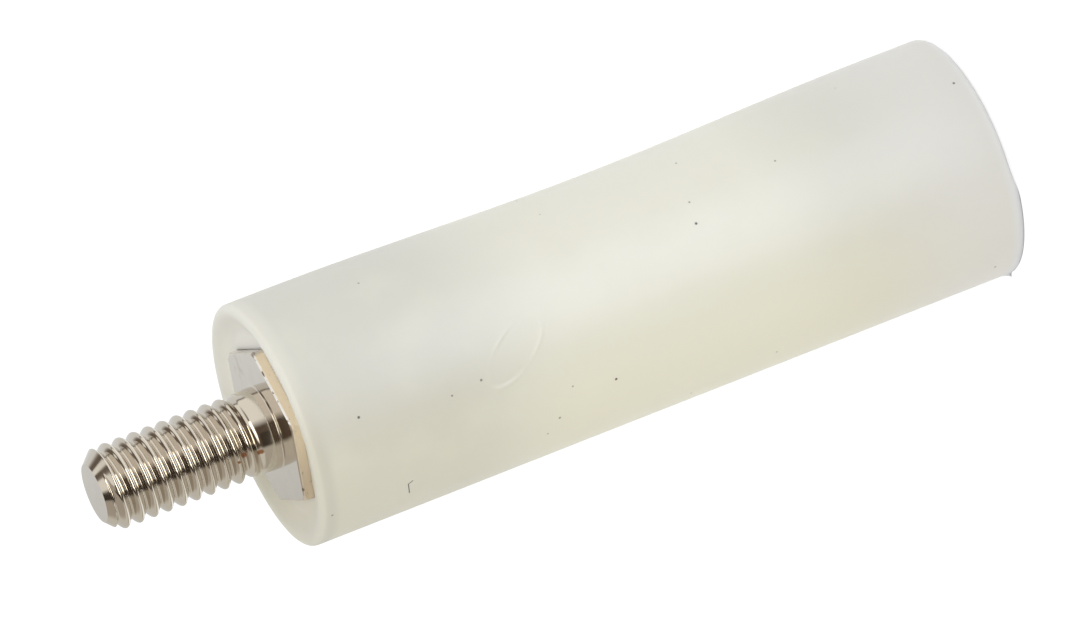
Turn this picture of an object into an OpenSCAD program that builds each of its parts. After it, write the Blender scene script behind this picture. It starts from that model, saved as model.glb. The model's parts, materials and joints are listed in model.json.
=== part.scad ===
// Round insulating standoff: a nylon body moulded over two hex metal inserts.
// The upper insert carries a threaded stud and the lower one is a tapped bush.
// +Z runs along the axis towards the stud, and the face of the bush is at Z = 0.

/* [Nylon body] */
// Diameter over the ends of the body
body_d = 11.5; // [10.5:0.1:16]
// Length of the nylon from rim to rim
body_len = 35.3; // [26:0.1:60]
// Rounding of the outer edge at each end
edge_r = 0.3; // [0.1:0.05:0.7]
// Depth of the moulding sink, on the +X side only
sink_depth = 0.3; // [0.1:0.05:0.6]
// Distance from each rim to the start of the sink
sink_from_rim = 2.5; // [1:0.1:8]
// Depth of the dish in each end face, round the hex
dish_depth = 0.5; // [0.05:0.05:0.8]
// Width of the dish's flat floor beyond the hex corners
dish_floor = 0.15; // [0.05:0.05:0.3]

/* [Hex inserts] */
// Width across the flats of the hex stock
hex_af = 7; // [6:0.1:8]
// Height of the bush's face beyond the nylon rim
bush_proud = 0.1; // [0:0.05:0.6]
// Height of the stud's hex face above the nylon rim
stud_proud = 0; // [0:0.05:0.6]
// Length of the groove that the nylon locks into
groove_len = 2; // [0.6:0.1:3]
// Depth of that groove below the flats
groove_depth = 0.6; // [0.2:0.05:0.8]
// Length of hex between each hex face and its groove
groove_from_face = 4; // [2:0.1:5]

/* [Stud] */
// Depth of the stud's hex in the nylon, below the rim
stud_hex_depth = 10.3; // [8:0.1:14]
// Height of the stud above its hex face
stud_len = 8.4; // [5:0.1:16]
// Diameter over the thread crests, metric 4 mm coarse thread
thread_d = 3.9; // [3:0.05:5]
// Diameter of the flat tip
tip_d = 2.75; // [1.5:0.05:2.9]

/* [Tapped bush] */
// Bore of the tapped hole, at the thread's inner crests
hole_d = 3.3; // [2.5:0.05:4.2]
// Depth of the hole's straight wall, countersink included
hole_depth = 7; // [5:0.1:12]
// Depth of the 45 degree countersink at the mouth
countersink = 0.4; // [0.1:0.05:0.6]
// Included angle of the drill point at the bottom of the hole
drill_angle = 118; // [90:1:140]
// Metal left behind the drill point
bush_floor = 0.5; // [0.3:0.1:3]

/* [Hidden] */
$fn = 96;

// Heights along the axis
bush_face = 0;
low_rim = bush_face + bush_proud;
high_rim = low_rim + body_len;
stud_face = high_rim + stud_proud;

// Radii of the body and the hex
body_r = body_d / 2;
edge_centre_r = body_r - edge_r;
hex_corner_d = hex_af / cos(30);
dish_floor_r = hex_corner_d / 2 + dish_floor;
groove_d = hex_af - 2 * groove_depth;

// The bush is as deep as its hole needs
drill_point = hole_d / 2 / tan(drill_angle / 2);
bush_len = hole_depth + drill_point + bush_floor;
stud_hex_len = stud_hex_depth + stud_proud;

// The sink starts and ends near the rims
sink_low = low_rim + sink_from_rim;
sink_high = high_rim - sink_from_rim;

// Steps along each curve of the profile
edge_steps = 6;
dish_steps = 8;
sink_steps = 24;

// Overlap that keeps cuts clear of the faces they start from
cut = 0.5;

// The waisted form clears the body at its ends, and at its middle on the -X side
sink_clear = 0.03;
sink_shift = sink_depth / 2 + sink_clear;
waist_end_r = body_r + sink_shift + sink_clear;

// Depth of the sink at a share t of its length
function sink_at(t) = (sink_depth + sink_clear) * (1 - cos(360 * t)) / 2;

// Depth of the dish at a share t of the way from its floor to the rim
function dish_at(t) = dish_depth * (1 + cos(180 * t)) / 2;

// One end of the body as [radius, depth below the rim], from the dish's floor out to the side
function end_curve() = concat(
    [for (i = [0 : dish_steps])
        let (t = i / dish_steps)
        [dish_floor_r + t * (edge_centre_r - dish_floor_r), dish_at(t)]],
    [for (i = [1 : edge_steps])
        let (a = 90 * i / edge_steps)
        [edge_centre_r + edge_r * sin(a), edge_r * (1 - cos(a))]]
);

// The waist that sinks into the body, as [radius, height] from low to high
function waist_curve() = [
    for (i = [0 : sink_steps])
        let (t = i / sink_steps)
        [waist_end_r - sink_at(t), sink_low + t * (sink_high - sink_low)]
];

function reversed(points) = [for (i = [len(points) - 1 : -1 : 0]) points[i]];

// Turned body with rounded edges and dished ends
module turned_body() {
    low_end = [for (p = end_curve()) [p[0], low_rim + p[1]]];
    high_end = [for (p = end_curve()) [p[0], high_rim - p[1]]];
    rotate_extrude() polygon(concat([[0, low_rim + dish_depth]], low_end, reversed(high_end),
        [[0, high_rim - dish_depth]]));
}

// Wider turned form with a waist. Its axis is shifted, so that it sinks into the body on the +X side only
module waisted_form() {
    translate([-sink_shift, 0, 0]) rotate_extrude() polygon(concat(
        [[0, low_rim - cut], [waist_end_r, low_rim - cut]],
        waist_curve(),
        [[waist_end_r, high_rim + cut], [0, high_rim + cut]]
    ));
}

// Body with the moulding sink along its +X side
module body_form() {
    intersection() {
        turned_body();
        waisted_form();
    }
}

// Hex bar standing on Z = 0 with its flats towards +X and -X
module hex_bar(length) {
    rotate([0, 0, 30]) cylinder(d = hex_corner_d, h = length, $fn = 6);
}

// Ring that the groove takes off the hex bar
module groove_ring() {
    difference() {
        cylinder(d = hex_corner_d + 2 * cut, h = groove_len);
        translate([0, 0, -cut]) cylinder(d = groove_d, h = groove_len + 2 * cut);
    }
}

// Hex insert on Z = 0, face down, with the turned groove that holds it in the nylon
module grooved_hex(length) {
    difference() {
        hex_bar(length);
        translate([0, 0, groove_from_face]) groove_ring();
    }
}

// Outer form of the bush, without its hole
module bush_form() {
    translate([0, 0, bush_face]) grooved_hex(bush_len);
}

// Hex of the stud insert, hanging from its face
module stud_hex_form() {
    translate([0, 0, stud_face]) mirror([0, 0, 1]) grooved_hex(stud_hex_len);
}

// Tapped hole with its countersunk mouth and drill point
module tapped_hole() {
    mouth_d = hole_d + 2 * (countersink + cut);
    translate([0, 0, bush_face - cut]) cylinder(d = hole_d, h = hole_depth + cut);
    translate([0, 0, bush_face - cut])
        cylinder(d1 = mouth_d, d2 = hole_d, h = countersink + cut);
    translate([0, 0, bush_face + hole_depth]) cylinder(d1 = hole_d, d2 = 0, h = drill_point);
}

// Turned stud at the diameter of its thread crests, with a 45 degree tip
module stud_form() {
    thread_r = thread_d / 2;
    tip_r = tip_d / 2;
    translate([0, 0, stud_face]) rotate_extrude() polygon([
        [0, -cut],
        [thread_r, -cut],
        [thread_r, stud_len - (thread_r - tip_r)],
        [tip_r, stud_len],
        [0, stud_len]
    ]);
}

// Natural nylon, moulded round both inserts
module nylon_body() {
    color("ivory") difference() {
        body_form();
        bush_form();
        stud_hex_form();
    }
}

// Nickel-plated brass insert with the threaded stud
module stud_insert() {
    color("silver") {
        stud_hex_form();
        stud_form();
    }
}

// Nickel-plated brass bush with the tapped hole
module tapped_bush() {
    color("silver") difference() {
        bush_form();
        tapped_hole();
    }
}

nylon_body();
stud_insert();
tapped_bush();
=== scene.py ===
"""Round insulating standoff: nylon moulded over a hex stud insert and a hex tapped bush.

The standoff stands on its tapped end with the stud up.
Sizes are in metres, and MM turns millimetres into them.
"""

import json
import math

import bpy
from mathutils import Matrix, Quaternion, Vector


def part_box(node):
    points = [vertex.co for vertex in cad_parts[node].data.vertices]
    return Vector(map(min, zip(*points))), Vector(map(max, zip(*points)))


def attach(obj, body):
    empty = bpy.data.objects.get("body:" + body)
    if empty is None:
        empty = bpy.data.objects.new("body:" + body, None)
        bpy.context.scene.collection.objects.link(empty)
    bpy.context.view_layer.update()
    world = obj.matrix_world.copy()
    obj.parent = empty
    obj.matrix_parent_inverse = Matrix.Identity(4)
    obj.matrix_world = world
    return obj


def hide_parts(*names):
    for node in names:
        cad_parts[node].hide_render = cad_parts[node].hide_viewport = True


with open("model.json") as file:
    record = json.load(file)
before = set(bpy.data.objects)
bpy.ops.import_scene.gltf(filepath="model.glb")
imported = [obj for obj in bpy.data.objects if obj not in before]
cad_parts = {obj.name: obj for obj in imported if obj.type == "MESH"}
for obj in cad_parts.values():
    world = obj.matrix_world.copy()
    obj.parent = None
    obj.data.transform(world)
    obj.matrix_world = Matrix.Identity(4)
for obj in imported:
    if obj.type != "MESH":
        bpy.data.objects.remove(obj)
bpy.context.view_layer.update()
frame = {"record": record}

MM = 0.001

# Distances under which two points, or two heights, are taken as one
SAME_POINT = 1e-7
SAME_HEIGHT = 1e-6

# Sizes and heights that the frame gives
body_low, body_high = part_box("nylon_body")
stud_low, stud_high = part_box("stud_insert")
bush_low, bush_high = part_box("tapped_bush")
mounts = {mount["name"]: mount for mount in frame["record"]["mounts"]}
BODY_R = body_high.x
LOW_RIM = body_low.z
HIGH_RIM = body_high.z
HEX_FLAT_R = stud_high.x
STUD_FACE = mounts["stud_seat"]["pos_m"][2]
STUD_HEX_END = stud_low.z
STUD_TIP = stud_high.z
BUSH_FACE = bush_low.z
BUSH_END = bush_high.z
CREST_R = mounts["stud"]["dims"]["r_mm"] * MM
HOLE_R = mounts["tapped_hole"]["dims"]["r_mm"] * MM

# Nylon body
EDGE_R = 0.3 * MM
SINK_DEPTH = 0.3 * MM
SINK_LOW = LOW_RIM + 2.5 * MM
SINK_HIGH = HIGH_RIM - 2.5 * MM
DISH_DEPTH = 0.5 * MM
DISH_INNER_R = HEX_FLAT_R * 0.5
DISH_FLOOR_R = HEX_FLAT_R / math.cos(math.radians(30)) + 0.15 * MM
BODY_SEGMENTS = 192
EDGE_STEPS = 6
DISH_STEPS = 10
SINK_STEPS = 80
NYLON_SMOOTH_DEGREES = 35

# Flash left on part of the lower rim, and a nib on it, in degrees before +X
FLASH = 0.08 * MM
FLASH_START = (95, 112)
FLASH_END = (174, 179)
NIB = 0.2 * MM
NIB_PLACE = 173
NIB_HALF = 3

# Faint oval witness ring on the side: place, half axes, tilt, line width and relief
OVAL_ANGLE = math.radians(-92)
OVAL_HEIGHT = 25.0 * MM
OVAL_LONG = 1.9 * MM
OVAL_SHORT = 0.85 * MM
OVAL_TILT = math.radians(-52)
OVAL_LINE = 0.12 * MM
OVAL_RELIEF = 0.05 * MM

# Its relief swells and fades in waves round the ring: mean and swing, waves in a round, and their start
OVAL_MEAN = 0.6
OVAL_SWING = 0.4
OVAL_WAVES = 3
OVAL_WAVE_START = 2

# The finer mesh round the oval: how far from its middle and its line, and how fine
OVAL_BAND = OVAL_LONG * 1.3
OVAL_MARGIN = OVAL_LINE * 4
OVAL_CUTS = 5

# Hex inserts
GROOVE_LENGTH = 2 * MM
GROOVE_R = HEX_FLAT_R - 0.6 * MM
GROOVE_OUTER_R = HEX_FLAT_R * 1.4
GROOVE_FROM_FACE = 4 * MM
GROOVE_SEGMENTS = 96
HEX_EDGE_BREAK = 0.09 * MM
HEX_EDGE_STEPS = 3
HEX_CORNER_BREAK = 0.08 * MM
HEX_CORNER_STEPS = 4
CHAMFER_R = 3.84 * MM
CHAMFER_ANGLE = math.radians(40)
CHAMFER_SEGMENTS = 144
CHAMFER_OVER = 0.15 * MM
CHAMFER_LENGTH = 12 * MM
POCKET_GAP = 0.02 * MM
METAL_SMOOTH_DEGREES = 38

# Metric 4 mm coarse thread
PITCH = 0.7 * MM
THREAD_DEPTH = 0.3 * MM
FLANK_ANGLE = math.radians(30)
CREST_ROUNDING = 0.17 * MM
ROOT_ROUNDING = 0.06 * MM
THREAD_SEGMENTS = 96
RINGS_PER_TURN = 40

# Stud, with heights over its hex face
SHANK_FOOT_R = 1.94 * MM
SHANK_R = 1.885 * MM
SHANK_TAPER = (0.35 * MM, 1.0 * MM)
SHANK_LENGTH = 0.75 * MM
SHANK_END = 1.35 * MM
RUN_OUT_END = 1.85 * MM
TIP_R = 1.375 * MM
FIRST_CREST = 1.63 * MM
STUD_ROOT = 0.5 * MM
FOOT_FILLET = 0.07 * MM

# Tapped hole
HOLE_DEPTH = 7 * MM
COUNTERSINK = 0.4 * MM
DRILL_ANGLE = math.radians(118)
TAP_R = 2.0 * MM
TAP_DEPTH = 6 * MM
POINT_R = 0.02 * MM
CUT = 0.5 * MM

# Photograph: its size and where the centre of the upper hex face lies in it
PHOTO_W = 1080
PHOTO_H = 641
HEX_CENTRE_PX = Vector((265.4, 427.1))
PX_PER_METRE = 22467

# Camera
CAMERA_DISTANCE = 403 * MM
CAMERA_ELEVATION = math.radians(16.95)
CAMERA_AZIMUTH = math.radians(5.9)
CAMERA_ROLL = math.radians(-111.22)
CAMERA_CLIP = (0.01, 20)
SENSOR_WIDTH_MM = 36

# Light: a softbox in front, and a plain white room
SOFTBOX_PLACE = Vector((0.17, -0.44, 0.33))
SOFTBOX_AIM = Vector((0, 0, 0.02))
SOFTBOX_SIZE = 0.4
SOFTBOX_POWER = 0.65
ROOM_STRENGTH = 0.85
SEEN_STRENGTH = 1

# Floor of white paper: tones of the paper where it lights the part, and where it is seen
FLOOR_R = 3.0
FLOOR_SEGMENTS = 96
PAPER_NOISE = (400, 4)
PAPER_TONES = (0.78, 0.82)
SEEN_PAPER_TONES = (0.28, 0.32)
SEEN_PAPER_GLOW = 0.85

# Tent that the metal mirrors: degrees round the axis from +X, and the colour there
TENT_R = 90 * MM
TENT_HEIGHT = 180 * MM
TENT_MIDDLE = 40 * MM
TENT_SEGMENTS = 128
TENT_UPPER = (0.47, 0.42, 0.36)
TENT_UPPER_SLOPES = (0.5, 0.85)
TENT_SHADE = (0.045, 0.035, 0.028)
SHADE_AZIMUTH = -121
SHADE_LEAN = -11
SHADE_REACH = (8, 17)
TENT_STOPS = [
    (-180, (0.74, 0.72, 0.65)),
    (-145, (0.74, 0.72, 0.65)),
    (-130, (0.112, 0.082, 0.06)),
    (-78, (0.112, 0.082, 0.06)),
    (-58, (1.0, 0.97, 0.91)),
    (17, (1.0, 0.97, 0.91)),
    (23, (0.15, 0.13, 0.11)),
    (29, (0.80, 0.80, 0.78)),
    (92, (0.82, 0.84, 0.85)),
    (100, (0.62, 0.62, 0.60)),
    (150, (0.70, 0.67, 0.60)),
    (180, (0.74, 0.72, 0.65)),
]

# Patches of the tent: azimuth, reach to either side, slopes where it fades in and out, and colour
TENT_PATCHES = [
    (-180, (36, 48), (-9, -8), (-0.05, 0.15), (0.50, 0.46, 0.39)),
    (180, (25, 40), (-9, -8), (-0.05, 0.15), (0.50, 0.46, 0.39)),
    (-113, (15, 22), (-9, -8), (-0.05, 0.15), (0.06, 0.046, 0.035)),
    (-25, (85, 100), (0.5, 0.85), (1.8, 2.8), (0.16, 0.125, 0.10)),
    (-50, (55, 65), (2.2, 2.6), (90, 100), (0.95, 0.92, 0.86)),
    (16, (8, 16), (0.95, 1.1), (1.4, 1.6), (0.95, 0.92, 0.86)),
    (130, (20, 30), (2.2, 2.4), (3.0, 3.2), TENT_SHADE),
    (-118, (22, 30), (2.3, 2.5), (3.6, 3.9), TENT_SHADE),
    (-88, (27, 40), (0.45, 0.75), (0.85, 1.25), (5.5, 5.15, 4.4)),
]

# Cards that only reflections show: degrees round the axis, colour, and corners away, aside and up in mm
SHEEN_CARD = (-66, (2.3, 2.5, 3.0), [(14, -7.5, 0), (14, 5.5, 0), (14, 5.5, 29), (14, -7.5, 29)])
SHADE_CARD = (-119, (0.06, 0.05, 0.04), [(20, -3, 0.1), (20, 3, 0.1), (88, 13, 0.1), (88, -13, 0.1)])

# Nylon colours: clear of the inserts, over them with painted shade of the inserts and more painted shade on
# the -X side, in its faint clouds, with a painted warm bounce towards -X, on the end faces with painted
# shade towards -X, at the far end, and a painted highlight at the far rim
NYLON_CLEAR = (0.84, 0.83, 0.74)
# Painted shade where the inserts lie behind the nylon, deeper on the -X side over the stud
NYLON_INSERT_SHADE = (0.73, 0.722, 0.66)
NYLON_SHADED = (0.70, 0.685, 0.60)
NYLON_CLOUD = (0.80, 0.79, 0.69)
# Painted warm bounce light, yellower towards -X
NYLON_WARM_BOUNCE = (0.84, 0.80, 0.60)
# End face colours, each with a copy darkened by painted shade towards -X
NYLON_FACE = (0.89, 0.88, 0.80)
NYLON_DISH_SHADED = (0.72, 0.69, 0.575)
NYLON_RIM = (0.78, 0.77, 0.70)
NYLON_RIM_SHADED = (0.67, 0.65, 0.555)
NYLON_FAR = (0.785, 0.775, 0.755)
# Painted highlight on the far rim's rounding
NYLON_FAR_RIM_HIGHLIGHT = (0.81, 0.81, 0.795)

# Where the nylon's colours fade into each other, and how far each goes
OVER_STUD = (STUD_HEX_END - 4 * MM, STUD_HEX_END + 3.5 * MM)
OVER_BUSH = (BUSH_END - 2 * MM, BUSH_END + 4.5 * MM)
OVER_BUSH_SHARE = 0.8
SHADED_SIDE = (-2 * MM, 1.5 * MM)
CLOUD_NOISE = (260, 4)
CLOUD_SPAN = (0.45, 0.8)
CLOUD_SHARE = 0.6
WARM_BOUNCE_SIDE = (-BODY_R, BODY_R * 0.4)
WARM_BOUNCE_SHARES = (0.65, 0.35)
FAR_END = (LOW_RIM + 1 * MM, LOW_RIM + 9 * MM)
FAR_END_SHARE = 0.6
FAR_RIM_HIGHLIGHT = (LOW_RIM + 0.1 * MM, LOW_RIM + 0.6 * MM)
NEAR_FACE = (HIGH_RIM - 1 * MM, HIGH_RIM - DISH_DEPTH)
NEAR_FACE_SHARE = 0.85
FACE_SHADE_SIDE = (-2 * MM, 3 * MM)
NEAR_RIM_R = (4.5 * MM, 5.3 * MM)

# Nylon surface
SATIN_NOISE = (900, 3)
SATIN_SPAN = (0.3, 0.7)
SATIN_ROUGHNESS = (0.42, 0.5)
NYLON_IOR = 1.53
NYLON_SCATTER = 0.4 * MM
NYLON_SCATTER_SHARES = (1, 1, 0.9)
WAVE_NOISE = (400, 2)
GRAIN_NOISE = (6000, 2)
GRAIN_SHARE = 0.08
NYLON_BUMP = (0.25, 0.03 * MM)

# Dark specks on the nylon: degrees from +X, height, radius and strength
SPECK = (0.10, 0.085, 0.07)
SPECKS = [
    (-5, 21.0, 0.05, 0.6),
    (-67, 14.9, 0.065, 1.0),
    (-123, 20.7, 0.065, 1.0),
    (-56, 14.7, 0.05, 0.6),
    (-53, 10.2, 0.05, 0.6),
    (-31, 14.1, 0.05, 0.5),
    (-50, 0.9, 0.06, 0.9),
    (-33, 30.0, 0.05, 0.6),
    (-99, 26.9, 0.06, 0.7),
    (-101, 28.4, 0.05, 0.7),
    (-95, 32.8, 0.065, 0.9),
    (-118, 22.8, 0.05, 0.5),
    (-133, 23.6, 0.06, 0.7),
    (-141, 24.2, 0.05, 0.5),
    (-148, 12.6, 0.05, 0.5),
    (-157, 16.8, 0.05, 0.5),
    (-149, 1.4, 0.06, 0.6),
    (-139, 34.9, 0.06, 0.6),
    (-30, 20.9, 0.04, 0.4),
    (-24, 5.6, 0.04, 0.4),
]

# Short dark fibre stuck to the nylon: strokes from and to (degrees, height)
FIBRE_WIDTH = 0.03 * MM
FIBRE = [
    ((-138, 31.15), (-145, 31.08)),
    ((-138, 31.15), (-136.8, 30.93)),
]

# Nickel plate: colours, smudges and turning lines
NICKEL = (0.68, 0.63, 0.56)
NICKEL_DULL = (0.60, 0.55, 0.48)
NICKEL_ROUGHNESS = 0.08
SMUDGE_NOISE = (900, 4)
SMUDGE_SPAN = (0.4, 0.75)
SMUDGE_SHARE = 0.35
SMUDGE_ROUGHNESS = 0.07
TURNING_NOISE = (24000, 2)
TURNING_BUMP = (0.03, 0.002 * MM)

# Tan painted reflection of the nylon on the hex sides, graded along X with painted shade towards -X, with
# dots of residue. The +X flat is clear of it
HEX_PAINTED_REFLECTION = (0.85, 0.73, 0.56)
HEX_PAINTED_REFLECTION_MIDDLE = (0.90, 0.78, 0.60)
HEX_PAINTED_REFLECTION_SHADED = (0.70, 0.59, 0.46)
REFLECTION_HIGH_SIDE = (-0.2 * MM, 0.6 * MM)
REFLECTION_SHADE_SIDE = (-3 * MM, -0.2 * MM)
REFLECTION_FROM_FACE = (0.03 * MM, 0.08 * MM)
REFLECTION_CLEAR_FLAT = (HEX_FLAT_R * 0.93, HEX_FLAT_R * 0.99)
REFLECTION_COVER = 0.38
REFLECTION_ROUGHNESS = 0.3
HEX_SIDE_R = (HEX_FLAT_R * 0.985, HEX_FLAT_R * 0.995)
RESIDUE = (0.22, 0.15, 0.09)
DOT_NOISE = (5200, 2)
DOT_SPAN = (0.66, 0.72)
DOT_SHARE = 0.6

# Pale painted highlight on the edge between the hex face and one of its flats
EDGE_HIGHLIGHT_COLOUR = (0.96, 0.94, 0.90)
HIGHLIGHT_FLAT = (0.5, -math.cos(math.radians(30)), 0)
HIGHLIGHT_FROM_AXIS = (HEX_FLAT_R - HEX_EDGE_BREAK * 1.2, HEX_FLAT_R - HEX_EDGE_BREAK * 0.9)
HIGHLIGHT_FROM_FACE = (HEX_EDGE_BREAK * 0.6, HEX_EDGE_BREAK)
HIGHLIGHT_NOISE = (3000, 2)
HIGHLIGHT_SPAN = (0.55, 0.64)
HIGHLIGHT_COVER = 0.8

# Stain and dirt on the upper hex face
STAIN_PLACE = (2.8 * MM, 0.9 * MM, STUD_FACE)
STAIN_R = 0.7 * MM
STAIN_NOISE = (1800, 3)
STAIN_SPAN = (0.35, 0.75)
STAIN_SHARE = 0.3
DIRT_PLACE = (-3.0 * MM, -2.35 * MM, STUD_FACE)
DIRT_R = 0.11 * MM

# Brown droplets dried on the stud's run-out: degrees from +X, height over the hex face and radius
DROPLET = (0.24, 0.10, 0.03)
DROPLET_COVER = 0.8
DROPLET_REACH = CREST_R * 1.1
DROPLETS = [
    (-115.3, 1.12, 0.14),
    (-115.0, 1.00, 0.14),
    (-113.3, 1.78, 0.17),
    (-116.5, 2.14, 0.09),
]

# Shares of a mark's size between which its edge fades
POINT_FADE = (0.6, 1.3)
LINE_FADE = (0.5, 1.2)


# Mesh helpers


def ease(value, start, end):
    """Smooth step from 0 at start to 1 at end."""
    share = min(max((value - start) / (end - start), 0), 1)
    return share * share * (3 - 2 * share)


def start_piece():
    """Leaves edit mode with nothing selected, so that the next operator acts on the new piece alone."""
    if bpy.context.mode != "OBJECT":
        bpy.ops.object.mode_set(mode="OBJECT")
    bpy.ops.object.select_all(action="DESELECT")


def make_active(piece):
    start_piece()
    piece.select_set(True)
    bpy.context.view_layer.objects.active = piece


def clear_selection(piece, kind):
    """Deselects a piece's mesh, to select its edges or its faces next, and stays in object mode."""
    make_active(piece)
    bpy.ops.object.mode_set(mode="EDIT")
    bpy.ops.mesh.select_mode(type=kind)
    bpy.ops.mesh.select_all(action="DESELECT")
    bpy.ops.object.mode_set(mode="OBJECT")


def select_edges(piece, chosen):
    """Selects the edges whose two end points the test accepts, and stays in edit mode."""
    clear_selection(piece, "EDGE")
    for edge in piece.data.edges:
        first, second = [piece.data.vertices[index].co for index in edge.vertices]
        edge.select = chosen(first, second)
    bpy.ops.object.mode_set(mode="EDIT")


def select_upright_edges(piece, length):
    """Selects the edges that run from end to end of an upright bar, and stays in edit mode."""
    select_edges(piece, lambda first, second: abs(first.z - second.z) > length / 2)


def select_faces(piece, chosen):
    """Selects the faces that the test accepts, and stays in edit mode."""
    clear_selection(piece, "FACE")
    for face in piece.data.polygons:
        face.select = chosen(face)
    bpy.ops.object.mode_set(mode="EDIT")


def face_outwards(piece):
    """Merges doubles and turns all faces of a closed piece outwards."""
    make_active(piece)
    bpy.ops.object.mode_set(mode="EDIT")
    bpy.ops.mesh.select_all(action="SELECT")
    bpy.ops.mesh.remove_doubles(threshold=SAME_POINT)
    bpy.ops.mesh.normals_make_consistent(inside=False)
    bpy.ops.object.mode_set(mode="OBJECT")


def add_upright_bar(name, vertices, radius, low, high):
    """Adds a plain bar between two heights, as the start of a piece."""
    start_piece()
    bpy.ops.mesh.primitive_cylinder_add(
        vertices=vertices, radius=radius, depth=high - low, location=(0, 0, (low + high) / 2)
    )
    bar = bpy.context.object
    bar.name = name
    bpy.ops.object.transform_apply(location=True)
    return bar


def ringed_form(name, rings, segments):
    """Lofts through level rings, each (radius, height, shift along X), by one extrusion after the other."""
    start_piece()
    radius, height, shift = rings[0]
    bpy.ops.mesh.primitive_circle_add(
        vertices=segments, radius=radius, fill_type="NGON", location=(shift, 0, height)
    )
    piece = bpy.context.object
    piece.name = name
    bpy.ops.object.transform_apply(location=True)
    bpy.ops.object.mode_set(mode="EDIT")
    bpy.ops.mesh.select_all(action="SELECT")
    for next_radius, next_height, next_shift in rings[1:]:
        move = (next_shift - shift, 0, next_height - height)
        share = next_radius / radius
        bpy.ops.mesh.extrude_region_move(TRANSFORM_OT_translate={"value": move})
        bpy.ops.transform.resize(value=(share, share, 1), center_override=(next_shift, 0, next_height))
        radius, height, shift = next_radius, next_height, next_shift
    bpy.ops.object.mode_set(mode="OBJECT")
    face_outwards(piece)
    return piece


def combine(piece, tool, operation):
    """Applies a Boolean of a tool piece and deletes the tool."""
    make_active(piece)
    boolean = piece.modifiers.new("Cut", "BOOLEAN")
    boolean.object = tool
    boolean.operation = operation
    boolean.solver = "EXACT"
    bpy.ops.object.modifier_apply(modifier=boolean.name)
    bpy.data.objects.remove(tool)


def smooth_by_angle(piece, degrees):
    make_active(piece)
    bpy.ops.object.shade_smooth_by_angle(angle=math.radians(degrees))


def keep_flats_flat(piece):
    """Weights the normals by face area, so that the edge breaks don't bend the flats' reflections."""
    make_active(piece)
    weighted = piece.modifiers.new("Flats", "WEIGHTED_NORMAL")
    weighted.keep_sharp = True
    bpy.ops.object.modifier_apply(modifier=weighted.name)


# Hex inserts


def hex_form(name, low, high, flat_r):
    """Hex bar between two heights, with its flats towards +X and -X and its corners rounded a little."""
    piece = add_upright_bar(name, 6, flat_r / math.cos(math.radians(30)), low, high)
    select_upright_edges(piece, high - low)
    bpy.ops.mesh.bevel(offset=HEX_CORNER_BREAK, segments=HEX_CORNER_STEPS, affect="EDGES")
    bpy.ops.object.mode_set(mode="OBJECT")
    return piece


def grooved_hex(name, low, high, groove_low, gap):
    """Hex insert between two heights, with the turned groove that holds it in the nylon."""
    piece = hex_form(name, low, high, HEX_FLAT_R + gap)
    inner = GROOVE_R + gap
    groove_high = groove_low + GROOVE_LENGTH
    ring_ends = [(GROOVE_OUTER_R, groove_low, 0), (GROOVE_OUTER_R, groove_high, 0)]
    ring = ringed_form("groove_ring", ring_ends, GROOVE_SEGMENTS)
    core_ends = [(inner, groove_low - CUT, 0), (inner, groove_high + CUT, 0)]
    core = ringed_form("groove_core", core_ends, GROOVE_SEGMENTS)
    combine(ring, core, "DIFFERENCE")
    combine(piece, ring, "DIFFERENCE")
    return piece


def stud_hex(name, gap=0):
    groove_low = STUD_FACE - GROOVE_FROM_FACE - GROOVE_LENGTH
    return grooved_hex(name, STUD_HEX_END - gap, STUD_FACE, groove_low, gap)


def bush_hex(name, gap=0):
    return grooved_hex(name, BUSH_FACE, BUSH_END + gap, BUSH_FACE + GROOVE_FROM_FACE, gap)


def break_face_edges(piece, face_height):
    """Breaks the sharp edges round the hex face that shows."""

    def in_face(first, second):
        return abs(first.z - face_height) < SAME_HEIGHT and abs(second.z - face_height) < SAME_HEIGHT

    select_edges(piece, in_face)
    bpy.ops.mesh.bevel(offset=HEX_EDGE_BREAK, segments=HEX_EDGE_STEPS, affect="EDGES")
    bpy.ops.object.mode_set(mode="OBJECT")


def turn_corners(piece, face_height, outwards):
    """Turns a chamfer on the hex corners at a face. The cone passes the face and stays clear of it."""
    spread = math.tan(CHAMFER_ANGLE)
    wide_r = 2 * HEX_FLAT_R
    wide_height = face_height - outwards * (wide_r - CHAMFER_R) * spread
    rings = [
        (CHAMFER_R - CHAMFER_OVER / spread, face_height + outwards * CHAMFER_OVER, 0),
        (wide_r, wide_height, 0),
        (wide_r, wide_height - outwards * CHAMFER_LENGTH, 0),
    ]
    combine(piece, ringed_form("corner_cone", rings, CHAMFER_SEGMENTS), "INTERSECT")


# Nylon body


def end_curve():
    """One end of the body as (radius, depth below the rim), from the dish's floor out to the side."""
    edge_centre = BODY_R - EDGE_R
    points = [(DISH_INNER_R, DISH_DEPTH)]
    for step in range(DISH_STEPS + 1):
        share = step / DISH_STEPS
        depth = DISH_DEPTH * (1 + math.cos(math.pi * share)) / 2
        points.append((DISH_FLOOR_R + share * (edge_centre - DISH_FLOOR_R), depth))
    for step in range(1, EDGE_STEPS + 1):
        angle = math.pi / 2 * step / EDGE_STEPS
        points.append((edge_centre + EDGE_R * math.sin(angle), EDGE_R * (1 - math.cos(angle))))
    return points


def side_sink(height):
    """Depth of the sink on the +X side at a height."""
    share = min(max((height - SINK_LOW) / (SINK_HIGH - SINK_LOW), 0), 1)
    return SINK_DEPTH * (1 - math.cos(2 * math.pi * share)) / 2


def side_point(angle, height, lift=0):
    """Point of the side at an angle from +X and a height. Each ring keeps touching the -X side."""
    half = side_sink(height) / 2
    radius = BODY_R - half + lift
    return Vector((radius * math.cos(angle) - half, radius * math.sin(angle), height))


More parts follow.
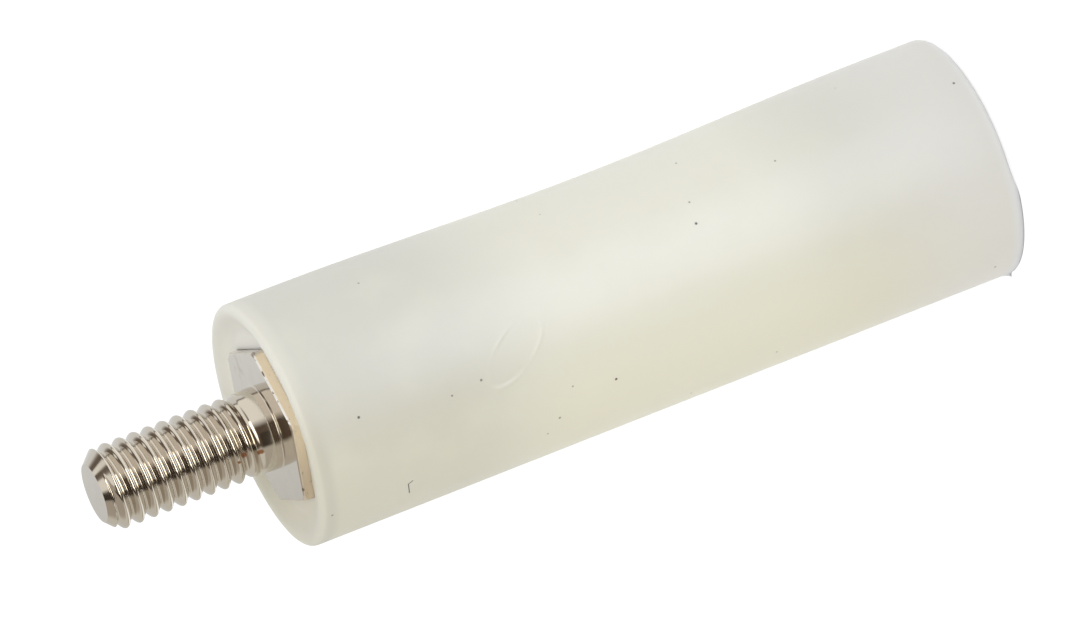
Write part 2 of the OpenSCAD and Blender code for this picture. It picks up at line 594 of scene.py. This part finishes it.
def side_rings():
    """The side as (radius, height, shift), from low to high."""
    rings = []
    for step in range(SINK_STEPS + 1):
        height = SINK_LOW + (SINK_HIGH - SINK_LOW) * step / SINK_STEPS
        half = side_sink(height) / 2
        rings.append((BODY_R - half, height, -half))
    return rings


def add_flash(piece):
    """Draws part of the lower rim's rounding out to a thin lip with a nib, as flash from the mould."""
    edge_centre = BODY_R - EDGE_R
    edge_top = LOW_RIM + EDGE_R * 1.01
    for vertex in piece.data.vertices:
        radius = math.hypot(vertex.co.x, vertex.co.y)
        if radius < edge_centre or vertex.co.z > edge_top:
            continue
        before = -math.degrees(math.atan2(vertex.co.y, vertex.co.x))
        round_angle = math.asin(min((radius - edge_centre) / EDGE_R, 1))
        drawn = math.sin(2 * round_angle)
        share = ease(before, *FLASH_START) * (1 - ease(before, *FLASH_END)) * drawn
        nib = (1 - ease(abs(before - NIB_PLACE), 0, NIB_HALF)) * drawn
        grown = radius + (BODY_R - radius) * share + NIB * nib
        vertex.co.x *= grown / radius
        vertex.co.y *= grown / radius
        vertex.co.z += (LOW_RIM - FLASH - vertex.co.z) * share


def oval_place(angle, height):
    """Distance from the oval's line, measured on the side, and the angle round its centre."""
    arc = (angle - OVAL_ANGLE) * BODY_R
    rise = height - OVAL_HEIGHT
    along = arc * math.cos(OVAL_TILT) + rise * math.sin(OVAL_TILT)
    across = rise * math.cos(OVAL_TILT) - arc * math.sin(OVAL_TILT)
    share = math.hypot(along / OVAL_LONG, across / OVAL_SHORT)
    return (share - 1) * OVAL_SHORT, math.atan2(across, along)


def near_oval(face):
    """True for a face of the side that lies in the oval or close to its line."""
    angle = math.atan2(face.center.y, face.center.x)
    near = abs(face.center.z - OVAL_HEIGHT) < OVAL_BAND
    return near and oval_place(angle, face.center.z)[0] < OVAL_MARGIN


def add_oval(piece):
    """Refines the side round the oval and raises the oval's line, unevenly."""
    select_faces(piece, near_oval)
    bpy.ops.mesh.subdivide(number_cuts=OVAL_CUTS)
    bpy.ops.object.mode_set(mode="OBJECT")
    for vertex in piece.data.vertices:
        if vertex.select:
            angle = math.atan2(vertex.co.y, vertex.co.x + side_sink(vertex.co.z) / 2)
            distance, turn = oval_place(angle, vertex.co.z)
            near_line = 1 - ease(abs(distance), 0, OVAL_LINE)
            uneven = OVAL_MEAN + OVAL_SWING * math.cos(OVAL_WAVES * turn + OVAL_WAVE_START)
            vertex.co = side_point(angle, vertex.co.z, OVAL_RELIEF * near_line * uneven)


def make_nylon_body():
    low_end = [(radius, LOW_RIM + depth, 0) for radius, depth in end_curve()]
    high_end = [(radius, HIGH_RIM - depth, 0) for radius, depth in end_curve()]
    piece = ringed_form("nylon_moulding", low_end + side_rings() + high_end[::-1], BODY_SEGMENTS)
    add_flash(piece)
    add_oval(piece)
    combine(piece, stud_hex("stud_pocket", POCKET_GAP), "DIFFERENCE")
    combine(piece, bush_hex("bush_pocket", POCKET_GAP), "DIFFERENCE")
    smooth_by_angle(piece, NYLON_SMOOTH_DEGREES)
    return piece


# Threads


def soft_floor(value, rounding):
    """The value, or 0 where it is negative, with the corner at 0 rounded."""
    if value <= -rounding:
        return 0
    if value >= rounding:
        return value
    return (value + rounding) ** 2 / (4 * rounding)


def tooth_depth(turn):
    """Depth of the thread below its crest, at a place along the thread counted in turns from a crest."""
    distance = abs((turn + 0.5) % 1 - 0.5) * PITCH
    flank = (math.hypot(distance, CREST_ROUNDING) - CREST_ROUNDING) / math.tan(FLANK_ANGLE)
    return THREAD_DEPTH - soft_floor(THREAD_DEPTH - flank, ROOT_ROUNDING)


def stud_radius(turn, height):
    """Radius of the stud: fillet at its foot, plain shank, thread that fades in, 45 degree tip."""
    above_face = height - STUD_FACE
    full = ease(above_face, SHANK_LENGTH, RUN_OUT_END)
    taper = min(max((above_face - SHANK_TAPER[0]) / (SHANK_TAPER[1] - SHANK_TAPER[0]), 0), 1)
    shank = SHANK_FOOT_R + (SHANK_R - SHANK_FOOT_R) * taper
    crest = shank + (CREST_R - shank) * ease(above_face, SHANK_END, RUN_OUT_END)
    foot = max(1 - above_face / FOOT_FILLET, 0)
    fillet = FOOT_FILLET * (1 - math.sqrt(max(1 - min(foot, 1) ** 2, 0)))
    radius = crest - tooth_depth(turn) * full + fillet
    return min(radius, TIP_R + STUD_TIP - height)


def hole_radius(turn, height):
    """Radius of the tapped hole: countersunk mouth, thread, plain drilled end and drill point."""
    depth = height - BUSH_FACE
    if depth > HOLE_DEPTH:
        return max(HOLE_R - (depth - HOLE_DEPTH) * math.tan(DRILL_ANGLE / 2), POINT_R)
    thread = (TAP_R - HOLE_R) * (1 - tooth_depth(turn) / THREAD_DEPTH)
    tapped = HOLE_R + thread * (1 - ease(depth, TAP_DEPTH - PITCH, TAP_DEPTH))
    mouth = HOLE_R + COUNTERSINK - depth
    return max(tapped, mouth)


def threaded_rod(name, low, high, first_crest, radius_at):
    """Rod with a right-hand thread: a finely ringed bar whose points move to the thread's form."""
    rod = add_upright_bar(name, THREAD_SEGMENTS, CREST_R, low, high)
    select_upright_edges(rod, high - low)
    ring_count = round((high - low) / PITCH * RINGS_PER_TURN)
    bpy.ops.mesh.subdivide_edgering(number_cuts=ring_count, interpolation="LINEAR", smoothness=0)
    bpy.ops.object.mode_set(mode="OBJECT")
    for vertex in rod.data.vertices:
        height = vertex.co.z
        angle = math.atan2(vertex.co.y, vertex.co.x)
        turn = (height - first_crest) / PITCH - angle / (2 * math.pi)
        radius = radius_at(turn, height)
        vertex.co.x = radius * math.cos(angle)
        vertex.co.y = radius * math.sin(angle)
    face_outwards(rod)
    return rod


def make_stud():
    piece = stud_hex("hex_stud")
    break_face_edges(piece, STUD_FACE)
    turn_corners(piece, STUD_FACE, 1)
    rod = threaded_rod("stud_rod", STUD_FACE - STUD_ROOT, STUD_TIP, STUD_FACE + FIRST_CREST, stud_radius)
    combine(piece, rod, "UNION")
    smooth_by_angle(piece, METAL_SMOOTH_DEGREES)
    keep_flats_flat(piece)
    return piece


def make_bush():
    piece = bush_hex("hex_bush")
    break_face_edges(piece, BUSH_FACE)
    turn_corners(piece, BUSH_FACE, -1)
    drill_point = HOLE_R / math.tan(DRILL_ANGLE / 2)
    hole_end = BUSH_FACE + HOLE_DEPTH + drill_point
    hole = threaded_rod("tapped_hole", BUSH_FACE - CUT, hole_end, BUSH_FACE, hole_radius)
    combine(piece, hole, "DIFFERENCE")
    smooth_by_angle(piece, METAL_SMOOTH_DEGREES)
    keep_flats_flat(piece)
    return piece


# Materials


class Graph:
    """Short ways to add and join the nodes of one shader."""

    def __init__(self, tree):
        self.nodes = tree.nodes
        self.links = tree.links

    def feed(self, value, target):
        """Joins an output to an input, or sets the input to a plain value."""
        if isinstance(value, bpy.types.NodeSocket):
            self.links.new(value, target)
        elif target.type == "RGBA":
            target.default_value = (*value, 1)
        else:
            target.default_value = value

    def place(self):
        return self.nodes.new("ShaderNodeTexCoord").outputs["Object"]

    def parts(self, vector):
        node = self.nodes.new("ShaderNodeSeparateXYZ")
        self.feed(vector, node.inputs["Vector"])
        return node.outputs["X"], node.outputs["Y"], node.outputs["Z"]

    def join(self, x, y, z):
        node = self.nodes.new("ShaderNodeCombineXYZ")
        self.feed(x, node.inputs["X"])
        self.feed(y, node.inputs["Y"])
        self.feed(z, node.inputs["Z"])
        return node.outputs["Vector"]

    def math(self, operation, first, second=0.0):
        node = self.nodes.new("ShaderNodeMath")
        node.operation = operation
        self.feed(first, node.inputs[0])
        self.feed(second, node.inputs[1])
        return node.outputs["Value"]

    def times(self, product, *factors):
        """Product of two or more values."""
        for factor in factors:
            product = self.math("MULTIPLY", product, factor)
        return product

    def most(self, largest, *values):
        """Largest of two or more values."""
        for value in values:
            largest = self.math("MAXIMUM", largest, value)
        return largest

    def vector(self, operation, first, second):
        node = self.nodes.new("ShaderNodeVectorMath")
        node.operation = operation
        self.feed(first, node.inputs[0])
        self.feed(second, node.inputs[1])
        return node.outputs["Value" if operation in ("DISTANCE", "DOT_PRODUCT") else "Vector"]

    def scaled(self, direction, factor):
        node = self.nodes.new("ShaderNodeVectorMath")
        node.operation = "SCALE"
        self.feed(direction, node.inputs[0])
        self.feed(factor, node.inputs["Scale"])
        return node.outputs["Vector"]

    def from_axis(self, x, y):
        """Distance from the standoff's axis."""
        return self.vector("DISTANCE", self.join(x, y, 0.0), (0, 0, 0))

    def rise(self, value, start, end, low=0.0, high=1.0):
        """Smooth step from low at start to high at end."""
        node = self.nodes.new("ShaderNodeMapRange")
        node.interpolation_type = "SMOOTHSTEP"
        self.feed(value, node.inputs["Value"])
        node.inputs["From Min"].default_value = start
        node.inputs["From Max"].default_value = end
        node.inputs["To Min"].default_value = low
        node.inputs["To Max"].default_value = high
        return node.outputs["Result"]

    def fall(self, value, start, end):
        return self.rise(value, start, end, 1.0, 0.0)

    def mix(self, factor, first, second):
        node = self.nodes.new("ShaderNodeMix")
        node.data_type = "RGBA"
        self.feed(factor, node.inputs["Factor"])
        self.feed(first, node.inputs["A"])
        self.feed(second, node.inputs["B"])
        return node.outputs["Result"]

    def mix_shaders(self, factor, first, second):
        node = self.nodes.new("ShaderNodeMixShader")
        self.feed(factor, node.inputs["Fac"])
        self.feed(first, node.inputs[1])
        self.feed(second, node.inputs[2])
        return node.outputs["Shader"]

    def noise(self, vector, scale, detail):
        node = self.nodes.new("ShaderNodeTexNoise")
        self.feed(vector, node.inputs["Vector"])
        node.inputs["Scale"].default_value = scale
        node.inputs["Detail"].default_value = detail
        return node.outputs["Fac"]

    def bump(self, height, strength, distance):
        node = self.nodes.new("ShaderNodeBump")
        node.inputs["Strength"].default_value = strength
        node.inputs["Distance"].default_value = distance
        self.feed(height, node.inputs["Height"])
        return node.outputs["Normal"]

    def glow(self, colour, strength=1.0):
        node = self.nodes.new("ShaderNodeEmission")
        self.feed(colour, node.inputs["Color"])
        node.inputs["Strength"].default_value = strength
        return node.outputs["Emission"]

    def show(self, shader):
        """Joins a shader to the material's output."""
        self.feed(shader, self.nodes["Material Output"].inputs["Surface"])

    def near_point(self, place, point, radius):
        """1 at a point, falling to 0 just past a radius."""
        distance = self.vector("DISTANCE", place, tuple(point))
        return self.fall(distance, radius * POINT_FADE[0], radius * POINT_FADE[1])

    def near_line(self, place, start, end, width):
        """1 along a short straight stroke, falling to 0 beside it."""
        stroke = end - start
        offset = self.vector("SUBTRACT", place, tuple(start))
        along = self.vector("DOT_PRODUCT", offset, tuple(stroke.normalized()))
        along = self.math("MINIMUM", self.most(along, 0.0), stroke.length)
        foot = self.scaled(tuple(stroke.normalized()), along)
        distance = self.vector("DISTANCE", offset, foot)
        return self.fall(distance, width * LINE_FADE[0], width * LINE_FADE[1])

    def seen_ray(self):
        """1 for rays that show the background: straight, in a reflection or through a clear piece."""
        path = self.nodes.new("ShaderNodeLightPath").outputs
        return self.most(path["Is Camera Ray"], path["Is Glossy Ray"], path["Is Transmission Ray"])


def new_material(name):
    material = bpy.data.materials.new(name)
    material.use_nodes = True
    return material, Graph(material.node_tree), material.node_tree.nodes["Principled BSDF"]


def bare_material(name):
    """Material with an output and no shader yet."""
    material, graph, shader = new_material(name)
    graph.nodes.remove(shader)
    return material, graph


def nylon_side_colour(graph, place, x, height):
    """Greyer with painted shade where metal lies behind the nylon, and more of it on the -X side over the
    stud; a painted warm bounce away from +X; cooler at the far end; a painted highlight at the far rim.
    """
    over_stud = graph.rise(height, *OVER_STUD)
    over_bush = graph.times(graph.fall(height, *OVER_BUSH), OVER_BUSH_SHARE)
    # Painted shade of the inserts, deeper on the -X side over the stud
    shaded = graph.times(over_stud, graph.fall(x, *SHADED_SIDE))
    painted_shade_colour = graph.mix(shaded, NYLON_INSERT_SHADE, NYLON_SHADED)
    colour = graph.mix(graph.most(over_stud, over_bush), NYLON_CLEAR, painted_shade_colour)
    clouds = graph.rise(graph.noise(place, *CLOUD_NOISE), *CLOUD_SPAN, 0.0, CLOUD_SHARE)
    colour = graph.mix(clouds, colour, NYLON_CLOUD)
    # Painted warm bounce light: yellower towards -X, with less of it over the stud
    warm_bounce = graph.times(graph.fall(x, *WARM_BOUNCE_SIDE), graph.rise(over_stud, 0.0, 1.0, *WARM_BOUNCE_SHARES))
    colour = graph.mix(warm_bounce, colour, NYLON_WARM_BOUNCE)
    far = graph.times(graph.fall(height, *FAR_END), FAR_END_SHARE)
    colour = graph.mix(far, colour, NYLON_FAR)
    # Painted highlight: a lighter thin band at the far rim
    return graph.mix(graph.fall(height, *FAR_RIM_HIGHLIGHT), colour, NYLON_FAR_RIM_HIGHLIGHT)


def nylon_face_colour(graph, x, y):
    """The end face at the stud: its dish, and its rim further out, both with painted shade away from +X."""
    # Painted shade: the end face darkens towards -X
    face_shade = graph.fall(x, *FACE_SHADE_SIDE)
    dish_colour = graph.mix(face_shade, NYLON_FACE, NYLON_DISH_SHADED)
    rim_colour = graph.mix(face_shade, NYLON_RIM, NYLON_RIM_SHADED)
    return graph.mix(graph.rise(graph.from_axis(x, y), *NEAR_RIM_R), dish_colour, rim_colour)


def nylon_marks(graph, place):
    """Dark specks and the fibre on the nylon."""
    marks = 0.0
    for degrees, height, radius, strength in SPECKS:
        point = side_point(math.radians(degrees), height * MM)
        speck = graph.times(graph.near_point(place, point, radius * MM), strength)
        marks = graph.most(speck, marks)
    for (start_degrees, start_height), (end_degrees, end_height) in FIBRE:
        start = side_point(math.radians(start_degrees), start_height * MM)
        end = side_point(math.radians(end_degrees), end_height * MM)
        marks = graph.most(graph.near_line(place, start, end, FIBRE_WIDTH), marks)
    return marks


def nylon_material():
    """Uncoloured nylon: cream, slightly translucent, satin, with faint waves in its surface."""
    material, graph, shader = new_material("natural_nylon")
    place = graph.place()
    x, y, height = graph.parts(place)
    near_face = graph.times(graph.rise(height, *NEAR_FACE), NEAR_FACE_SHARE)
    side_colour = nylon_side_colour(graph, place, x, height)
    colour = graph.mix(near_face, side_colour, nylon_face_colour(graph, x, y))
    colour = graph.mix(nylon_marks(graph, place), colour, SPECK)
    graph.feed(colour, shader.inputs["Base Color"])
    satin = graph.rise(graph.noise(place, *SATIN_NOISE), *SATIN_SPAN, *SATIN_ROUGHNESS)
    graph.feed(satin, shader.inputs["Roughness"])
    shader.inputs["IOR"].default_value = NYLON_IOR
    shader.inputs["Subsurface Weight"].default_value = 1
    shader.inputs["Subsurface Radius"].default_value = NYLON_SCATTER_SHARES
    shader.inputs["Subsurface Scale"].default_value = NYLON_SCATTER
    grain = graph.times(graph.noise(place, *GRAIN_NOISE), GRAIN_SHARE)
    relief = graph.math("ADD", graph.noise(place, *WAVE_NOISE), grain)
    graph.feed(graph.bump(relief, *NYLON_BUMP), shader.inputs["Normal"])
    return material


def hex_painted_reflection(graph, x, side, from_face):
    """How much of the tan painted reflection of the nylon lies on the hex sides, and its colour, with
    painted shade towards -X.
    """
    painted_reflection = graph.times(side, graph.rise(from_face, *REFLECTION_FROM_FACE), graph.fall(x, *REFLECTION_CLEAR_FLAT))
    colour = graph.mix(graph.fall(x, *REFLECTION_SHADE_SIDE), HEX_PAINTED_REFLECTION_MIDDLE, HEX_PAINTED_REFLECTION_SHADED)
    return painted_reflection, graph.mix(graph.rise(x, *REFLECTION_HIGH_SIDE), colour, HEX_PAINTED_REFLECTION)


def painted_edge_highlight(graph, place, from_face):
    """1 on the painted highlight along an edge of the hex face, with a few gaps."""
    from_axis = graph.vector("DOT_PRODUCT", place, HIGHLIGHT_FLAT)
    kept = graph.fall(graph.noise(place, *HIGHLIGHT_NOISE), *HIGHLIGHT_SPAN)
    return graph.times(graph.rise(from_axis, *HIGHLIGHT_FROM_AXIS), graph.fall(from_face, *HIGHLIGHT_FROM_FACE), kept)


def hex_face_marks(graph, place):
    """Stain and dirt on the upper hex face."""
    blotches = graph.rise(graph.noise(place, *STAIN_NOISE), *STAIN_SPAN)
    stain = graph.times(graph.near_point(place, STAIN_PLACE, STAIN_R), blotches, STAIN_SHARE)
    return graph.most(stain, graph.near_point(place, DIRT_PLACE, DIRT_R))


def stud_droplets(graph, place):
    """1 on the droplets. Each runs out from the axis, so that it lies on the thread's own surface."""
    droplets = 0.0
    for degrees, above_face, radius in DROPLETS:
        angle = math.radians(degrees)
        foot = Vector((0, 0, STUD_FACE + above_face * MM))
        end = foot + DROPLET_REACH * Vector((math.cos(angle), math.sin(angle), 0))
        droplets = graph.most(graph.near_line(place, foot, end, radius * MM), droplets)
    return droplets


def nickel_material():
    """Bright nickel plate with fine turning lines, a few smudges, a tan painted reflection of the nylon on
    the hex sides and a painted highlight along one edge of the hex face.
    """
    material, graph, shader = new_material("bright_nickel")
    place = graph.place()
    x, y, height = graph.parts(place)
    radius = graph.from_axis(x, y)
    below_stud_face = graph.math("SUBTRACT", STUD_FACE, height)
    above_bush_face = graph.math("SUBTRACT", height, BUSH_FACE)
    from_face = graph.math("MINIMUM", below_stud_face, above_bush_face)
    side = graph.rise(radius, *HEX_SIDE_R)
    smudges = graph.rise(graph.noise(place, *SMUDGE_NOISE), *SMUDGE_SPAN)
    # Painted reflection of the nylon on the hex sides, with painted shade towards -X
    painted_reflection, painted_reflection_colour = hex_painted_reflection(graph, x, side, from_face)
    dots = graph.times(side, graph.rise(graph.noise(place, *DOT_NOISE), *DOT_SPAN), DOT_SHARE)
    # Painted highlight along one edge of the hex face
    edge_highlight = painted_edge_highlight(graph, place, from_face)
    droplets = stud_droplets(graph, place)
    colour = graph.mix(graph.times(smudges, SMUDGE_SHARE), NICKEL, NICKEL_DULL)
    colour = graph.mix(painted_reflection, colour, painted_reflection_colour)
    colour = graph.mix(dots, colour, RESIDUE)
    colour = graph.mix(edge_highlight, colour, EDGE_HIGHLIGHT_COLOUR)
    colour = graph.mix(hex_face_marks(graph, place), colour, RESIDUE)
    colour = graph.mix(droplets, colour, DROPLET)
    graph.feed(colour, shader.inputs["Base Color"])
    covered = graph.most(
        graph.times(painted_reflection, REFLECTION_COVER), graph.times(edge_highlight, HIGHLIGHT_COVER), graph.times(droplets, DROPLET_COVER)
    )
    graph.feed(graph.math("SUBTRACT", 1.0, covered), shader.inputs["Metallic"])
    dull = graph.math("ADD", graph.times(smudges, SMUDGE_ROUGHNESS), graph.times(painted_reflection, REFLECTION_ROUGHNESS))
    graph.feed(graph.math("ADD", dull, NICKEL_ROUGHNESS), shader.inputs["Roughness"])
    turning = graph.noise(graph.join(radius, 0.0, height), *TURNING_NOISE)
    graph.feed(graph.bump(turning, *TURNING_BUMP), shader.inputs["Normal"])
    return material


# Stage


def paper_shader(graph, fibres, tones):
    """Matt grey paper between two tones, from fibre to fibre."""
    paper = graph.nodes.new("ShaderNodeBsdfDiffuse")
    dark, light = [(tone, tone, tone) for tone in tones]
    graph.feed(graph.mix(fibres, dark, light), paper.inputs["Color"])
    return paper.outputs["BSDF"]


def floor_material():
    """Paper that shows as white and still takes the part's shadow."""
    material, graph = bare_material("white_floor")
    fibres = graph.noise(graph.place(), *PAPER_NOISE)
    lit = graph.nodes.new("ShaderNodeAddShader")
    graph.feed(paper_shader(graph, fibres, SEEN_PAPER_TONES), lit.inputs[0])
    graph.feed(graph.glow((1, 1, 1), SEEN_PAPER_GLOW), lit.inputs[1])
    paper = paper_shader(graph, fibres, PAPER_TONES)
    graph.show(graph.mix_shaders(graph.seen_ray(), paper, lit.outputs["Shader"]))
    return material


def make_floor():
    start_piece()
    bpy.ops.mesh.primitive_circle_add(
        vertices=FLOOR_SEGMENTS, radius=FLOOR_R, fill_type="NGON", location=(0, 0, BUSH_FACE)
    )
    floor = bpy.context.object
    floor.name = "floor"
    floor.data.materials.append(floor_material())


def make_world():
    """Plain white room, whose light on the part is a little weaker than the white that is seen."""
    world = bpy.data.worlds.new("soft_room")
    world.use_nodes = True
    bpy.context.scene.world = world
    graph = Graph(world.node_tree)
    room = graph.nodes["Background"]
    room.inputs["Color"].default_value = (1, 1, 1, 1)
    room.inputs["Strength"].default_value = ROOM_STRENGTH
    seen = graph.nodes.new("ShaderNodeBackground")
    seen.inputs["Strength"].default_value = SEEN_STRENGTH
    both = graph.mix_shaders(graph.seen_ray(), room.outputs["Background"], seen.outputs["Background"])
    graph.feed(both, graph.nodes["World Output"].inputs["Surface"])


def tent_ramp(graph, azimuth):
    """Colour of the tent's wall by the azimuth."""
    ramp = graph.nodes.new("ShaderNodeValToRGB")
    share = graph.math("DIVIDE", graph.math("ADD", azimuth, 180.0), 360.0)
    graph.feed(share, ramp.inputs["Fac"])
    stops = ramp.color_ramp.elements
    while len(stops) < len(TENT_STOPS):
        stops.new(1)
    for stop, (degrees, colour) in zip(stops, TENT_STOPS):
        stop.position = (degrees + 180) / 360
        stop.color = (*colour, 1)
    return ramp.outputs["Color"]


def tent_material():
    """Cloth that glows by its direction from the stud: bright on one side, dark in front, tan above."""
    material, graph = bare_material("tent_cloth")
    x, y, height = graph.parts(graph.place())
    azimuth = graph.times(graph.math("ARCTAN2", y, x), 180 / math.pi)
    slope = graph.math("DIVIDE", graph.math("SUBTRACT", height, TENT_MIDDLE), graph.from_axis(x, y))

    def span(middle, reach):
        """1 near an azimuth, fading out to either side."""
        return graph.fall(graph.math("ABSOLUTE", graph.math("SUBTRACT", azimuth, middle)), *reach)

    upper = graph.rise(slope, *TENT_UPPER_SLOPES)
    colour = graph.mix(upper, tent_ramp(graph, azimuth), TENT_UPPER)
    for middle, reach, fade_in, fade_out, patch_colour in TENT_PATCHES:
        between = graph.times(graph.rise(slope, *fade_in), graph.fall(slope, *fade_out))
        colour = graph.mix(graph.times(between, span(float(middle), reach)), colour, patch_colour)
    shade_middle = graph.math("ADD", graph.times(slope, SHADE_LEAN), SHADE_AZIMUTH)
    shade = graph.times(span(shade_middle, SHADE_REACH), upper)
    graph.show(graph.glow(graph.mix(shade, colour, TENT_SHADE)))
    return material


def show_in_reflections_only(piece):
    piece.visible_camera = False
    piece.visible_diffuse = False
    piece.visible_transmission = False
    piece.visible_shadow = False


def make_reflection_tent():
    """Tent wall and top that only the metal mirrors."""
    tent = add_upright_bar("reflection_tent", TENT_SEGMENTS, TENT_R, BUSH_FACE, BUSH_FACE + TENT_HEIGHT)
    select_faces(tent, lambda face: face.normal.z < -0.5)
    bpy.ops.mesh.delete(type="FACE")
    bpy.ops.object.mode_set(mode="OBJECT")
    tent.data.materials.append(tent_material())
    show_in_reflections_only(tent)


def make_card(name, azimuth, colour, corners):
    """Flat glowing card that only reflections show."""
    start_piece()
    bpy.ops.mesh.primitive_circle_add(vertices=4, fill_type="NGON")
    card = bpy.context.object
    card.name = name
    for vertex, corner in zip(card.data.vertices, corners):
        vertex.co = Vector(corner) * MM
    card.rotation_euler.z = math.radians(azimuth)
    card.location.z = BUSH_FACE
    bpy.ops.object.transform_apply(location=True, rotation=True)
    material, graph = bare_material(name)
    graph.show(graph.glow(colour))
    card.data.materials.append(material)
    show_in_reflections_only(card)


def add_softbox():
    light = bpy.data.lights.new("front_softbox", "AREA")
    light.shape = "SQUARE"
    light.size = SOFTBOX_SIZE
    light.energy = SOFTBOX_POWER
    lamp = bpy.data.objects.new("front_softbox", light)
    bpy.context.collection.objects.link(lamp)
    lamp.location = SOFTBOX_PLACE
    lamp.rotation_mode = "QUATERNION"
    lamp.rotation_quaternion = (SOFTBOX_AIM - SOFTBOX_PLACE).to_track_quat("-Z", "Y")
    lamp.visible_glossy = False


def camera_back():
    """Direction from the object to the camera."""
    level = math.cos(CAMERA_ELEVATION)
    return Vector(
        (
            math.sin(CAMERA_AZIMUTH) * level,
            -math.cos(CAMERA_AZIMUTH) * level,
            math.sin(CAMERA_ELEVATION),
        )
    )


def make_camera():
    """Camera at the photograph's view: the hex face's centre lands on its own pixel."""
    upright = (-camera_back()).to_track_quat("-Z", "Y")
    turn = upright @ Quaternion((0, 0, 1), CAMERA_ROLL)
    right = turn @ Vector((1, 0, 0))
    up = turn @ Vector((0, 1, 0))
    from_middle = HEX_CENTRE_PX - Vector((PHOTO_W / 2, PHOTO_H / 2))
    hex_centre = Vector((0, 0, STUD_FACE))
    aim = hex_centre - right * from_middle.x / PX_PER_METRE + up * from_middle.y / PX_PER_METRE
    data = bpy.data.cameras.new("photo_camera")
    data.sensor_width = SENSOR_WIDTH_MM
    data.lens = PX_PER_METRE * CAMERA_DISTANCE / PHOTO_W * SENSOR_WIDTH_MM
    data.clip_start, data.clip_end = CAMERA_CLIP
    camera = bpy.data.objects.new("photo_camera", data)
    bpy.context.collection.objects.link(camera)
    camera.location = aim + camera_back() * CAMERA_DISTANCE
    camera.rotation_mode = "QUATERNION"
    camera.rotation_quaternion = turn
    bpy.context.scene.camera = camera


def finish_piece(piece, node, material):
    piece.data.materials.clear()
    piece.data.materials.append(material)
    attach(piece, "root")
    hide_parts(node)


make_camera()
make_floor()
make_world()
make_reflection_tent()
make_card("sheen_card", *SHEEN_CARD)
make_card("shade_card", *SHADE_CARD)
add_softbox()

nickel = nickel_material()
finish_piece(make_nylon_body(), "nylon_body", nylon_material())
finish_piece(make_stud(), "stud_insert", nickel)
finish_piece(make_bush(), "tapped_bush", nickel)

bpy.context.scene.view_settings.view_transform = "Standard"

start_piece()
